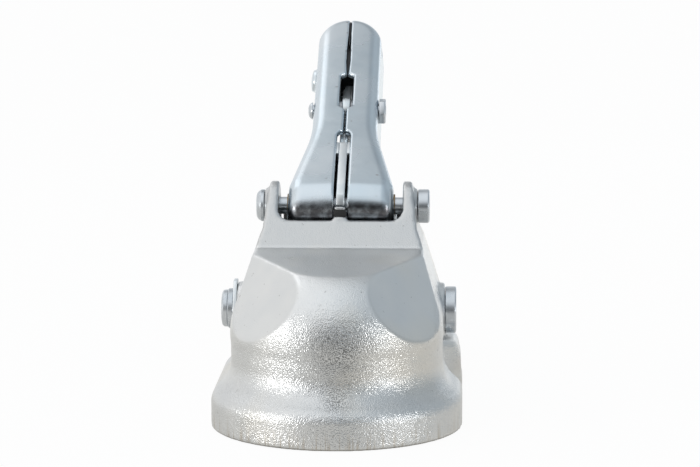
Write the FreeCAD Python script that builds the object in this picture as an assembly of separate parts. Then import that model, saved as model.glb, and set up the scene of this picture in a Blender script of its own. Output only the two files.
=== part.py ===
"""Trailer ball coupling: a cast cup and drawbar sleeve with a hinged handle.

Millimetres. The origin is the centre of the tow ball. +Z is up, the nose points
to -Y, the drawbar sleeve to +Y, and +X is the right side seen from the front.
"""
import FreeCAD, Part
import math
import os

V = FreeCAD.Vector

# Tow ball and socket
ball_d = 50.0
socket_gap = 0.3
socket_r = ball_d / 2 + socket_gap
rim_z = -16.0
mouth_flare = 1.6

# Cup wall and rim flange
rim_r = 49.4
band_top_z = -7.0
flare_turn_r = rim_r - 2.2
flare_turn_z = -0.9
wall_r = 41.5
flare_top_z = 12.0
dome_low_z = 17.0
dome_top_r = 25.5
dome_top_z = 47.0

# Upper faces of the casting
crease_y = 20.0
crease_z = 51.0
facet_normal = (0.685, -0.457, 0.567)
facet_distance = 46.8
skirt_rear_y = 64.0
skirt_corner_r = 14.0
wall_lean_z = 26.0
ear_foot_z = 56.0
ear_foot_step = 0.8
ear_lean = 2.4
ear_boss_r = 7.2
wing_front_y = 27.0
wing_rear_y = 60.0
wing_top_z = 12.2

# Handle pivot and ears
pivot_y = 43.0
pivot_z = 65.0
pivot_d = 7.0
base_width = 43.6
handle_room = 3.2
ear_gap = base_width + 2 * handle_room
ear_wall = 6.0
ear_r = 10.0
ear_x = ear_gap / 2 + ear_wall
ear_foot_x = ear_x + ear_foot_step
window_floor_z = 61.0
window_corner_r = 4.5
well_front_y = 30.5
well_floor_z = 50.5
ledge_width = 5.0
ledge_top_z = 66.4
ledge_front_y = 27.5
ledge_lip = 1.1
ledge_web = 1.1
sill_top_z = 62.5

# Jaw pin and jaw pocket
jaw_pin_y = 43.0
jaw_pin_z = 22.5
jaw_pin_d = 12.0
jaw_hub_r = 10.0
claw_tip_y = 16.0
claw_heel_y = 31.0
claw_back_y = 38.0
claw_shoulder_y = 24.0
claw_shoulder_z = 12.0
claw_lift = 1.8
jaw_side_gap = 0.6
pocket_width = 34.0
pocket_front_y = 10.0
pocket_rear_y = 74.0
pocket_top_z = 34.0
link_slot_width = 21.0
link_slot_front_y = 47.0
boss_r = 11.0
boss_x = 42.2

# Drawbar sleeve
tube_d = 50.0
tube_gap = 0.25
sleeve_wall = 5.95
sleeve_z = 16.0
sleeve_start_y = 79.0
sleeve_end_y = 168.0
neck_start_y = 56.0
neck_start_r = 42.0
neck_end_y = 86.0
cross_hole_d = 12.5
cross_hole_spacing = 54.0
cross_hole_last = 18.0
cross_pad_r = 13.0
cross_pad_x = 33.0

# Handle shells
handle_rise = 30.0
handle_length = 120.0
handle_top = 12.0
handle_depth = 19.0
sheet = 2.6
grip_width = 28.4
taper_start = 3.0
taper_end = 38.0
waist_blend = 8.0
grip_corner_r = 13.4
edge_r = 5.0
seam_gap = 0.5
seam_groove = 0.6
seam_bow = 1.7
seam_bow_start = 80.0
seam_bow_end = 108.0
slot_width = 5.7
lower_slot_end = 33.0
upper_slot_start = 53.5
upper_slot_end = 75.0
funnel = 2.4
slot_corner = 0.9
lip_start = 40.0
lip_end = 102.8
lip_thick = 2.0
lip_gap = 13.2
nose_end = -1.5
side_pad_s = 85.0
side_pad_n = 2.0
side_pad_r = 4.7
side_pad_height = 1.2

# Crank and pull links
crank_r = 9.5
crank_angle = -60.0
crank_pin_d = 5.0
crank_lug_r = 6.0
jaw_arm = 23.4
jaw_arm_width = 9.0
jaw_arm_eye_r = 6.0
link_pin_d = 6.0
link_thick = 3.0
link_eye_r = 5.0
link_low_eye_r = 6.2
link_slack = 1.0
link_play = 0.75
link_gap = 0.5

# Latch in the handle
latch_thick = 3.4
latch_top = 10.6
latch_low = 4.1
latch_step_s = 37.0
latch_high_end = 29.0
latch_tail_top = -3.0
latch_tail_low = -10.5
latch_tip_y = 31.2
latch_lift = 0.4
latch_end_s = 66.5
trigger_thick = 3.3
trigger_s = 60.0
trigger_n = 4.0
trigger_hub_r = 5.5
tooth_reach = 10.0
tooth_r = 2.5
tooth_neck = 3.0
tooth_gap = 0.35
trigger_pad_width = 11.0
trigger_reach = 38.5
tail_rise = 0.8
rivet_d = 5.0
rivet_head_r = 5.5
rivet_head_height = 2.6
rivet_tail_r = 3.6
rivet_tail_height = 1.9
spacer_wall = 1.7
tail_rivet_s = 105.0
tail_rivet_n = 3.0
tail_rivet_d = 4.0
clip_start = 21.5
clip_end = 29.0
clip_thick = 1.0
guide_start = 13.0
guide_end = 31.0
guide_low = -6.3
guide_gap = 0.2
buffer_gap = 0.1

# Fits and heads
fit = 0.05
side_gap = 0.15
pivot_head_r = 6.85
pivot_head_height = 4.7
collar_r = 6.5
collar_height = 3.2
jaw_head_r = 9.5
jaw_head_height = 4.5
jaw_cap_r = 7.6
jaw_cap_height = 2.6
washer_r = 8.15
washer_thick = 2.2
indicator_thick = 1.6
indicator_edge = 0.6
bush_wall = 1.2

# Springs
jaw_spring_z = 4.0
jaw_spring_r = 6.0
jaw_spring_wire = 2.0
jaw_spring_turns = 6
jaw_seat_y = 48.0
latch_spring_r = 1.9
latch_spring_wire = 0.8
latch_spring_turns = 8

taper_slope = (base_width - grip_width) / 2 / (taper_end - taper_start)
cos_h = math.cos(math.radians(handle_rise))
sin_h = math.sin(math.radians(handle_rise))


def on_handle(s, n):
    """Point (y, z) at s along the closed handle and n above its pivot line."""
    return (pivot_y + s * cos_h - n * sin_h, pivot_z + s * sin_h + n * cos_h)


def outline(items, place):
    """Face inside a closed outline of points, and of (mid, end) pairs for arcs."""
    start = place(items[0])
    here = start
    edges = []
    for item in items[1:]:
        if isinstance(item[0], tuple):
            end = place(item[1])
            edges.append(Part.Arc(here, place(item[0]), end).toShape())
        else:
            end = place(item)
            edges.append(Part.LineSegment(here, end).toShape())
        here = end
    if here.distanceToPoint(start) > 1e-6:
        edges.append(Part.LineSegment(here, start).toShape())
    return Part.Face(Part.Wire(edges))


def across_x(items, x0, x1):
    """Prism between two X places from an outline in Y and Z."""
    face = outline(items, lambda p: V(x0, p[0], p[1]))
    return face.extrude(V(x1 - x0, 0, 0))


def along_y(items, y0, y1):
    """Prism between two Y places from an outline in X and Z."""
    face = outline(items, lambda p: V(p[0], y0, p[1]))
    return face.extrude(V(0, y1 - y0, 0))


def up_z(items, z0, z1):
    """Prism between two heights from an outline in X and Y."""
    face = outline(items, lambda p: V(p[0], p[1], z0))
    return face.extrude(V(0, 0, z1 - z0))


def turned(items):
    """Solid of revolution about Z from an outline in radius and Z."""
    face = outline(items, lambda p: V(p[0], 0, p[1]))
    return face.revolve(V(0, 0, 0), V(0, 0, 1), 360)


def handle_prism(items, x0, x1):
    """Prism across X from an outline in handle places s and n."""
    def place(p):
        y, z = on_handle(p[0], p[1])
        return V(x0, y, z)
    return outline(items, place).extrude(V(x1 - x0, 0, 0))


def handle_plan(items, n0, n1):
    """Prism between two levels n from an outline in s and X."""
    def place(p):
        y, z = on_handle(p[0], n0)
        return V(p[1], y, z)
    rise = n1 - n0
    return outline(items, place).extrude(V(0, -rise * sin_h, rise * cos_h))


def rod(y, z, r, x0, x1):
    """Round rod along X."""
    return Part.makeCylinder(r, x1 - x0, V(x0, y, z), V(1, 0, 0))


def tube(y, z, r_out, r_in, x0, x1):
    return rod(y, z, r_out, x0, x1).cut(rod(y, z, r_in, x0 - 1, x1 + 1))


def block(x0, x1, y0, y1, z0, z1):
    return Part.makeBox(x1 - x0, y1 - y0, z1 - z0, V(x0, y0, z0))


def mirrored(shape):
    return shape.mirror(V(0, 0, 0), V(1, 0, 0))


def fused(*shapes):
    whole = shapes[0]
    for shape in shapes[1:]:
        whole = whole.fuse(shape)
    return whole.removeSplitter()


def coil(mean_r, wire_d, turns, length):
    """Round-wire compression spring along +Z with its ends at 0 and length."""
    rise = length - wire_d
    path = Part.Wire(Part.makeHelix(rise / turns, rise, mean_r).Edges)
    path.translate(V(0, 0, wire_d / 2))
    section = Part.makeCircle(wire_d / 2, V(mean_r, 0, wire_d / 2), V(0, 1, 0))
    return path.makePipeShell([Part.Wire(section)], True, True)


# Round edge of the flange and hollow flare up to the wall, in radius and Z
flare = [
    (rim_r, rim_z),
    (rim_r, band_top_z),
    ((rim_r - 0.5, band_top_z + 3.6), (flare_turn_r, flare_turn_z)),
    ((wall_r + 1.5, flare_turn_z + 4.8), (wall_r, flare_top_z)),
]


def cup():
    """Flange, upright wall and dome of the cup, as one turned form."""
    dome_mid = (dome_top_r + 0.78 * (wall_r - dome_top_r), dome_low_z + 0.62 * (dome_top_z - dome_low_z))
    return turned([(0, rim_z)] + flare + [
        (wall_r, dome_low_z),
        (dome_mid, (dome_top_r, dome_top_z)),
        (dome_top_r, crease_z),
        (0, crease_z),
    ])


def flank():
    """Straight walls behind the cup, leaning in to the ears."""
    top = pivot_z + ear_r + 1
    lean = (wall_r - ear_foot_x) / (ear_foot_z - wall_lean_z)
    half = [(0, rim_z)] + flare + [
        (wall_r, wall_lean_z),
        (ear_foot_x, ear_foot_z),
        (ear_x, ear_foot_z + 1.5),
        (ear_x - ear_lean, top),
        (0, top),
    ]
    behind = along_y(half, 0, skirt_rear_y)
    shoulder_z = wall_lean_z - 2
    shoulder = along_y([
        (0, shoulder_z),
        (wall_r - 1, shoulder_z),
        (wall_r - 1, wall_lean_z + 1 / lean),
        (ear_foot_x, ear_foot_z),
        (0, ear_foot_z),
    ], -12, 0)
    right = behind.fuse(shoulder)
    return fused(right, mirrored(right))


def skirt_plan():
    """Plan of the skirt with its rounded rear corners."""
    r = skirt_corner_r
    x = rim_r + 1
    y = skirt_rear_y
    k = r * (1 - math.sqrt(0.5))
    return up_z([
        (-x, -60), (x, -60), (x, y - r),
        ((x - k, y - k), (x - r, y)),
        (-x + r, y),
        ((-x + k, y - k), (-x, y - r)),
    ], rim_z - 1, pivot_z + ear_r + 2)


def top_profile():
    """Side outline of the whole casting, from the dome over the ears to the sleeve."""
    reach = math.hypot(pivot_y - crease_y, pivot_z - crease_z)
    to_pivot = math.atan2(pivot_z - crease_z, pivot_y - crease_y)
    rise = to_pivot + math.asin(ear_r / reach)
    touch = (pivot_y - ear_r * math.sin(rise), pivot_z + ear_r * math.cos(rise))
    sleeve_top = sleeve_z + tube_d / 2 + tube_gap + sleeve_wall
    return across_x([
        (-60, rim_z),
        (-60, dome_top_z - 0.089 * (60 - dome_top_r)),
        (crease_y, crease_z),
        touch,
        ((pivot_y + 2, pivot_z + ear_r - 0.202), (pivot_y + ear_r, pivot_z)),
        (pivot_y + ear_r + 2, ear_foot_z),
        (pocket_rear_y - 4, sleeve_top + 1),
        (sleeve_end_y + 1, sleeve_top + 1),
        (sleeve_end_y + 1, rim_z),
    ], -60, 60)


def facet_cutters():
    """The two flat facets beside the nose, each as the slab to take away."""
    n = V(*facet_normal)
    n.normalize()
    centre = n * facet_distance
    slab = Part.makeBox(160, 160, 60, V(-80, -80, 0))
    slab.Placement = FreeCAD.Placement(centre, FreeCAD.Rotation(V(0, 0, 1), n)).multiply(slab.Placement)
    return [slab, mirrored(slab)]


def window():
    """Space between the ears, and the well under it for the handle's round end."""
    x = ear_gap / 2
    z = window_floor_z
    r = window_corner_r
    k = r * (1 - math.sqrt(0.5))
    opening = along_y([
        (-x, 90), (-x, z + r),
        ((-x + k, z + k), (-x + r, z)),
        (x - r, z),
        ((x - k, z + k), (x, z + r)),
        (x, 90),
    ], crease_y - 8, sleeve_start_y)
    well = block(-x, x, well_front_y, sleeve_start_y, well_floor_z, 90)
    return opening.fuse(well)


def sleeve():
    """Drawbar sleeve with its conical neck and the pads of the cross bolts."""
    r_out = tube_d / 2 + tube_gap + sleeve_wall
    side = outline([
        (neck_start_y, 0), (neck_start_y, neck_start_r), (neck_end_y, r_out),
        (sleeve_end_y, r_out), (sleeve_end_y, 0),
    ], lambda p: V(0, p[0], sleeve_z + p[1]))
    shapes = [side.revolve(V(0, 0, sleeve_z), V(0, 1, 0), 360)]
    for y in cross_hole_places():
        shapes.append(rod(y, sleeve_z, cross_pad_r, -cross_pad_x, cross_pad_x))
    return fused(*shapes)


def cross_hole_places():
    last = sleeve_end_y - cross_hole_last
    return [last - cross_hole_spacing, last]


def wing():
    """Raised part of the skirt beside the jaw pin's head, on the right only."""
    w = rim_r - 0.4
    return along_y([
        (wall_r - 3, band_top_z), (w, band_top_z), (w - 0.1, -1), (w - 0.4, 4),
        (w - 1.6, wing_top_z - 3.4), (w - 3.4, wing_top_z - 0.8), (w - 5.5, wing_top_z),
        (wall_r - 3, wing_top_z),
    ], wing_front_y, wing_rear_y)


def ledge():
    """Thin lip in front of the latch, on a web, with a sill below."""
    half = ledge_width / 2
    rear = well_front_y
    lip = block(-half, half, ledge_front_y, rear, ledge_top_z - ledge_lip, ledge_top_z)
    web = block(-half, half, rear - ledge_web, rear, window_floor_z - 6, ledge_top_z)
    sill = block(-half, half, ledge_front_y + 0.4, rear, window_floor_z - 6, sill_top_z)
    return lip.fuse(web).fuse(sill)


def housing():
    solid = fused(cup(), flank()).common(skirt_plan())
    solid = solid.fuse(sleeve())
    solid = solid.common(top_profile())
    for slab in facet_cutters():
        solid = solid.cut(slab)
    for side in (-1, 1):
        boss = rod(jaw_pin_y, jaw_pin_z, boss_r, wall_r - 6, boss_x)
        solid = solid.fuse(boss if side > 0 else mirrored(boss))
    for side in (-1, 1):
        spot = rod(pivot_y, pivot_z, ear_boss_r, ear_gap / 2 + 1, ear_x)
        solid = solid.fuse(spot if side > 0 else mirrored(spot))
    solid = solid.fuse(wing())
    solid = solid.cut(window()).fuse(ledge())

    socket = Part.makeSphere(socket_r).fuse(Part.makeCylinder(socket_r, -rim_z + 1, V(0, 0, rim_z - 1)))
    mouth = Part.makeCone(socket_r + mouth_flare, socket_r, mouth_flare, V(0, 0, rim_z))
    pocket = block(-pocket_width / 2, pocket_width / 2, pocket_front_y, pocket_rear_y,
                   rim_z - 1, pocket_top_z)
    link_slot = block(-link_slot_width / 2, link_slot_width / 2, link_slot_front_y, pocket_rear_y,
                      pocket_top_z - 1, well_floor_z + 1)
    tube_bore = Part.makeCylinder(tube_d / 2 + tube_gap, sleeve_end_y - sleeve_start_y + 1,
                                  V(0, sleeve_start_y, sleeve_z), V(0, 1, 0))
    pin_hole = rod(jaw_pin_y, jaw_pin_z, jaw_pin_d / 2 + fit, -boss_x - 5, boss_x + 5)
    pivot_hole = rod(pivot_y, pivot_z, pivot_d / 2 + fit, -ear_x - 5, ear_x + 5)
    cutters = [socket, mouth, pocket, link_slot, tube_bore, pin_hole, pivot_hole]
    for y in cross_hole_places():
        cutters.append(rod(y, sleeve_z, cross_hole_d / 2, -60, 60))
    for cutter in cutters:
        solid = solid.cut(cutter)
    return solid.removeSplitter()


def half_width(s):
    """Half the width of the handle at s."""
    if s <= taper_start:
        return base_width / 2
    if s >= taper_end:
        return grip_width / 2
    part = (s - taper_start) / (taper_end - taper_start)
    return (base_width + part * (grip_width - base_width)) / 2


def handle_outline(inset):
    """Plan of the handle in s and X, moved in by the inset."""
    w_base = base_width / 2 - inset
    w_grip = grip_width / 2 - inset
    end = handle_length - inset
    front = -handle_top - 2
    r = grip_corner_r - inset
    k = r * (1 - math.sqrt(0.5))
    waist = (taper_end - waist_blend, w_grip + taper_slope * waist_blend)
    bow = (taper_end, w_grip + taper_slope * waist_blend / 4)
    after = (taper_end + waist_blend, w_grip)
    return [
        (front, -w_base), (taper_start, -w_base), (waist[0], -waist[1]),
        ((bow[0], -bow[1]), (after[0], -after[1])), (end - r, -w_grip),
        ((end - k, -w_grip + k), (end, -w_grip + r)),
        (end, w_grip - r),
        ((end - k, w_grip - k), (end - r, w_grip)),
        after, (bow, waist), (taper_start, w_base), (front, w_base),
    ]


def crank_place():
    """Place (s, n) of the crank pin in the closed handle."""
    a = math.radians(crank_angle)
    return (crank_r * math.cos(a), crank_r * math.sin(a))


def handle_disc(s, n, r, x0, x1):
    y, z = on_handle(s, n)
    return rod(y, z, r, x0, x1)


def handle_side(inset, low):
    """Side form of the handle: a bar with its round end about the pivot."""
    w = base_width / 2 + 2
    top = handle_top - inset
    bar = handle_prism([
        (0, low), (0, top), (handle_length + 1, top), (handle_length + 1, low),
    ], -w, w)
    return bar.fuse(handle_disc(0, 0, top, -w, w))


def lower_slot():
    """Slot over the latch, open at the nose, with a round arch at the seam."""
    w = slot_width / 2
    g = seam_gap / 2
    end = lower_slot_end
    return handle_plan([
        (-handle_top - 3, -w), (end, -w), ((end + 0.71 * w, -0.71 * w), (end + w, -g)),
        (end + w, g), ((end + 0.71 * w, 0.71 * w), (end, w)), (-handle_top - 3, w),
    ], handle_top - 2 * sheet, handle_top + 1)


def upper_slot():
    """Slot over the trigger: square at its far end, drawn in to the seam at its near end."""
    w = slot_width / 2
    g = seam_gap / 2
    c = slot_corner
    start = upper_slot_start
    end = upper_slot_end
    return handle_plan([
        (start - funnel, -g), (start, -w), (end, -w), ((end + 0.71 * c, -w + 0.29 * c), (end + c, -w + c)),
        (end + c + 0.3, -w / 2), (end + c + 1.2, -g), (end + c + 1.2, g), (end + c + 0.3, w / 2),
        (end + c, w - c), ((end + 0.71 * c, w - 0.29 * c), (end, w)), (start, w), (start - funnel, g),
    ], handle_top - 2 * sheet, handle_top + 1)


def nose_slot():
    """The lower slot carried round the front of the handle."""
    w = slot_width / 2
    return handle_prism([
        (-handle_top - 3, -6), (-handle_top - 3, handle_top + 1), (-1, handle_top + 1),
        (-1, handle_top - sheet - 1.5), (-5, -6),
    ], -w, w)


def seam():
    """Gap between the two shells, its rolled edges, and the bow near the tip."""
    reach = handle_length + 2
    gap = handle_plan([(-handle_top - 3, -seam_gap / 2), (reach, -seam_gap / 2),
                       (reach, seam_gap / 2), (-handle_top - 3, seam_gap / 2)],
                      -handle_depth, handle_top + 1)
    groove_depth = seam_groove
    y0, z0 = on_handle(-handle_top - 3, handle_top)
    y1, z1 = on_handle(-handle_top - 3, handle_top - groove_depth)
    side = seam_groove + seam_gap / 2
    face = Part.Face(Part.makePolygon([V(-side, y0, z0), V(side, y0, z0), V(0, y1, z1), V(-side, y0, z0)]))
    groove = face.extrude(V(0, (reach + handle_top + 3) * cos_h, (reach + handle_top + 3) * sin_h))
    mid = (seam_bow_start + seam_bow_end) / 2
    bow = handle_plan([
        (seam_bow_start, -seam_gap / 2),
        ((mid, -seam_bow / 2), (seam_bow_end, -seam_gap / 2)),
        (seam_bow_end, seam_gap / 2),
        ((mid, seam_bow / 2), (seam_bow_start, seam_gap / 2)),
    ], handle_top - 2 * sheet, handle_top + 1)
    return [gap, groove, bow]


def handle_shells():
    """Left and right pressed shells, cut from one hollow form along the seam."""
    low = handle_top - handle_depth
    outer = handle_plan(handle_outline(0), -30, handle_top + 5).common(handle_side(0, low))
    round_edges = []
    for edge in outer.Edges:
        places = [((p.y - pivot_y) * cos_h + (p.z - pivot_z) * sin_h,
                   (p.z - pivot_z) * cos_h - (p.y - pivot_y) * sin_h, p.x) for p in edge.discretize(7)]
        on_top = min(n for s, n, x in places) > handle_top - 0.01
        on_nose = all(abs(math.hypot(s, n) - handle_top) < 0.01 for s, n, x in places)
        one_side = max(x for s, n, x in places) - min(x for s, n, x in places) < base_width - 1
        if (on_top or on_nose) and one_side:
            round_edges.append(edge)
    outer = outer.makeFillet(edge_r, round_edges)
    s, n = crank_place()
    lug = handle_disc(s, n, crank_lug_r, -base_width / 2, base_width / 2)
    w = base_width / 2
    outer = outer.fuse(lug)
    inner = handle_plan(handle_outline(sheet), -30, handle_top - sheet).common(handle_side(sheet, -30))
    lips = handle_prism([(lip_start, low - 1), (lip_start, low + lip_thick),
                         (handle_length + 1, low + lip_thick), (handle_length + 1, low - 1)], -w, w)
    finger_gap = handle_plan([(lip_start - 1, -lip_gap / 2), (lip_end, -lip_gap / 2),
                              (lip_end, lip_gap / 2), (lip_start - 1, lip_gap / 2)], low - 2, low + lip_thick + 1)
    inner = inner.cut(lips.cut(finger_gap))
    below = handle_plan([(-handle_top - 3, -w + sheet), (taper_start, -w + sheet),
                         (taper_start, w - sheet), (-handle_top - 3, w - sheet)], -30, nose_end)
    hollow = outer.cut(inner).cut(below)
    for cutter in [lower_slot(), nose_slot(), upper_slot()] + seam():
        hollow = hollow.cut(cutter)
    bush_r = pivot_d / 2 + fit + bush_wall
    hollow = hollow.cut(handle_disc(0, 0, bush_r, -w - 1, w + 1))
    hollow = hollow.cut(handle_disc(s, n, crank_pin_d / 2, -w - 1, w + 1))
    hollow = hollow.cut(handle_disc(trigger_s, trigger_n, rivet_d / 2, -w - 1, w + 1))
    hollow = hollow.cut(handle_disc(tail_rivet_s, tail_rivet_n, tail_rivet_d / 2, -w - 1, w + 1))
    right = hollow.common(block(0, 60, -10, 220, 0, 240))
    pad = handle_disc(side_pad_s, side_pad_n, side_pad_r,
                      -grip_width / 2 - side_pad_height, -grip_width / 2 + 1)
    return mirrored(right).fuse(pad).removeSplitter(), right


def pivot_parts():
    """Bolt and collar of the handle, and the two bushes in its shells."""
    face = ear_x + side_gap
    bolt = fused(
        rod(pivot_y, pivot_z, pivot_d / 2, -face - collar_height, face),
        rod(pivot_y, pivot_z, pivot_head_r, face, face + pivot_head_height),
    )
    collar = tube(pivot_y, pivot_z, collar_r, pivot_d / 2, -face - collar_height, -face)
    inner_x = base_width / 2 - sheet
    bush = tube(pivot_y, pivot_z, pivot_d / 2 + fit + bush_wall, pivot_d / 2 + fit, inner_x, base_width / 2)
    return bolt, collar, mirrored(bush), bush


def crank_parts():
    """Pin through both shells, and the tubes that keep the links in place."""
    s, n = crank_place()
    y, z = on_handle(s, n)
    half = half_width(s)
    pin = rod(y, z, crank_pin_d / 2, -half, half)
    link_outer = jaw_arm_width / 2 + link_gap + link_thick
    r_in = crank_pin_d / 2 + fit
    r_out = r_in + spacer_wall
    spacer = tube(y, z, r_out, r_in, link_outer + link_gap, half_width(s + r_out) - sheet - 0.2)
    return pin, mirrored(spacer), spacer


def links():
    """The two pull links, with a slotted lower eye for the jaw's pin."""
    s, n = crank_place()
    top = V(0, *on_handle(s, n))
    low = V(0, jaw_pin_y + jaw_arm, jaw_pin_z)
    run = (top - low).normalize()
    across = V(0, run.z, -run.y)
    x0 = jaw_arm_width / 2 + link_gap
    waist = 4.0
    corners = [top - across * waist, top + across * waist, low + across * waist, low - across * waist]
    strap = Part.Face(Part.makePolygon([V(x0, p.y, p.z) for p in corners + corners[:1]]))
    body = fused(
        strap.extrude(V(link_thick, 0, 0)),
        rod(top.y, top.z, link_eye_r, x0, x0 + link_thick),
        rod(low.y, low.z, link_low_eye_r, x0, x0 + link_thick),
    )
    body = body.cut(rod(top.y, top.z, crank_pin_d / 2 + fit, x0 - 1, x0 + link_thick + 1))
    slot_r = link_pin_d / 2 + link_play
    for step in (-link_slack, 0, link_slack):
        p = low + run * step
        body = body.cut(rod(p.y, p.z, slot_r, x0 - 1, x0 + link_thick + 1))
    return mirrored(body), body


def ball_jaw():
    """Clamp behind the ball: a hub on the jaw pin, a hollowed claw and a rear arm."""
    half = pocket_width / 2 - jaw_side_gap
    y = jaw_pin_y
    z = jaw_pin_z
    low = rim_z + claw_lift
    rise = claw_back_y - claw_heel_y
    claw = across_x([
        (y - jaw_hub_r, z + 2), (claw_shoulder_y, claw_shoulder_z), (claw_tip_y, 0),
        (claw_tip_y, low), (claw_heel_y, low),
        ((claw_heel_y + 0.5 * rise, low + 0.5 * rise), (claw_back_y, low + 1.46 * rise)),
        (y + jaw_hub_r - 1, z - 5), (y, z + 5),
    ], -half, half)
    hub = rod(y, z, jaw_hub_r, -half, half)
    eye_y = y + jaw_arm
    arm = across_x([(y, z + 8), (eye_y, z + jaw_arm_eye_r), (eye_y, z - jaw_arm_eye_r), (y, z - 9)],
                   -jaw_arm_width / 2, jaw_arm_width / 2)
    eye = rod(eye_y, z, jaw_arm_eye_r, -jaw_arm_width / 2, jaw_arm_width / 2)
    seat = Part.makeCylinder(jaw_spring_r + 2, 12, V(0, jaw_seat_y - 12, jaw_spring_z), V(0, 1, 0))
    peg_r = jaw_spring_r - jaw_spring_wire / 2 - jaw_side_gap
    peg = Part.makeCylinder(peg_r, 6, V(0, jaw_seat_y, jaw_spring_z), V(0, 1, 0))
    jaw = fused(claw, hub, arm, eye, seat, peg)
    jaw = jaw.cut(Part.makeSphere(socket_r))
    jaw = jaw.cut(rod(y, z, jaw_pin_d / 2, -half - 1, half + 1))
    jaw = jaw.cut(rod(eye_y, z, link_pin_d / 2, -half - 1, half + 1))
    return jaw.removeSplitter()


def jaw_pin_parts():
    """Jaw pin with its head on the right, and what sits on its left end."""
    y = jaw_pin_y
    z = jaw_pin_z
    face = boss_x + side_gap
    left = face + indicator_thick + washer_thick
    pin = fused(
        rod(y, z, jaw_pin_d / 2, -left - jaw_cap_height + 1, face),
        rod(y, z, jaw_head_r, face, face + jaw_head_height),
    )
    cap = rod(y, z, jaw_cap_r, -left - jaw_cap_height, -left)
    cap = cap.cut(rod(y, z, jaw_pin_d / 2, -left - jaw_cap_height + 1, -left + 1))
    washer = tube(y, z, washer_r, jaw_pin_d / 2, -left, -left + washer_thick)
    r = washer_r + indicator_edge
    low = z - 1.19 * r
    top = z + 1.35 * r
    plate = across_x([
        (y - r, z), ((y - 0.64 * r, z - 0.98 * r), (y - 0.41 * r, low)), (y + 0.41 * r, low),
        ((y + 0.64 * r, z - 0.98 * r), (y + r, z)),
        ((y + 0.73 * r, z + 0.69 * r), (y + 0.34 * r, top)), (y - 0.34 * r, top),
        ((y - 0.73 * r, z + 0.69 * r), (y - r, z)),
    ], -face - indicator_thick, -face)
    plate = plate.cut(rod(y, z, jaw_pin_d / 2, -left, 0))
    return pin, cap, washer, plate


def link_pin():
    y = jaw_pin_y + jaw_arm
    reach = jaw_arm_width / 2 + link_gap + link_thick + 0.2
    pin = rod(y, jaw_pin_z, link_pin_d / 2, -reach, reach)
    head = rod(y, jaw_pin_z, link_pin_d / 2 + 1.4, reach, reach + 1)
    return fused(pin, head, mirrored(head))


def latch_bolt():
    """Sliding latch plate: its tip lies over the ledge, its tail holds the trigger's tooth."""
    half = latch_thick / 2
    floor_z = ledge_top_z + latch_lift - pivot_z

    def under(y):
        dy = y - pivot_y
        return (dy * cos_h + floor_z * sin_h, -dy * sin_h + floor_z * cos_h)

    tip = under(latch_tip_y)
    back_y = pivot_y + (floor_z * cos_h - latch_low) / sin_h
    low = latch_tail_low
    notch = tooth_r + tooth_gap
    bar = handle_prism([
        (tip[0], tip[1]), (tip[0] + 3.4, latch_top), (latch_high_end, latch_top),
        (latch_high_end + 1.5, handle_top - sheet - 0.4), (latch_step_s, handle_top - sheet - 0.4),
        (latch_step_s, latch_low),
        (latch_step_s + 5, latch_tail_top), (latch_end_s, latch_tail_top), (latch_end_s, low),
        (latch_step_s - 1, low), (latch_step_s - 5, latch_low), under(back_y),
    ], -half, half)
    s = trigger_s
    deep = trigger_n - tooth_reach
    bite = handle_prism([
        (s - notch, latch_tail_top + 1), (s - notch, deep),
        ((s, deep - notch), (s + notch, deep)),
        (s + notch, latch_tail_top + 1),
    ], -half - 1, half + 1)
    return bar.cut(bite)


def latch_guide():
    """Plastic block between the shells that the latch bolt slides in."""
    def half(s):
        return half_width(s) - sheet - guide_gap
    body = handle_plan([
        (guide_start, -half(guide_start)), (guide_end, -half(guide_end)),
        (guide_end, half(guide_end)), (guide_start, half(guide_start)),
    ], guide_low, handle_top - sheet - guide_gap)
    slot = latch_thick / 2 + clip_thick + 0.3
    floor = latch_low - clip_thick - 0.3
    return body.cut(handle_prism([
        (guide_start - 1, floor), (guide_start - 1, handle_top), (guide_end + 1, handle_top),
        (guide_end + 1, floor),
    ], -slot, slot))


def latch_buffer():
    """Rubber buffer under the lip of the ledge."""
    half = ledge_width / 2
    return block(-half, half, ledge_front_y + 0.4, well_front_y - ledge_web - buffer_gap,
                 sill_top_z + buffer_gap, ledge_top_z - ledge_lip - buffer_gap)


def bolt_clip():
    """Folded clip round the latch plate behind the lower slot's middle."""
    half = latch_thick / 2 + 0.05
    side = half + clip_thick
    low = latch_low - 0.05
    end = clip_end
    outer = handle_prism([(clip_start + 2, low - clip_thick), (clip_start, latch_low + 3),
                          (clip_start, latch_top), (end, latch_top), (end, low - clip_thick)], -side, side)
    inner = handle_prism([(clip_start - 1, low), (clip_start - 1, latch_top + 1),
                          (end + 1, latch_top + 1), (end + 1, low)], -half, half)
    return outer.cut(inner)


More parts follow.
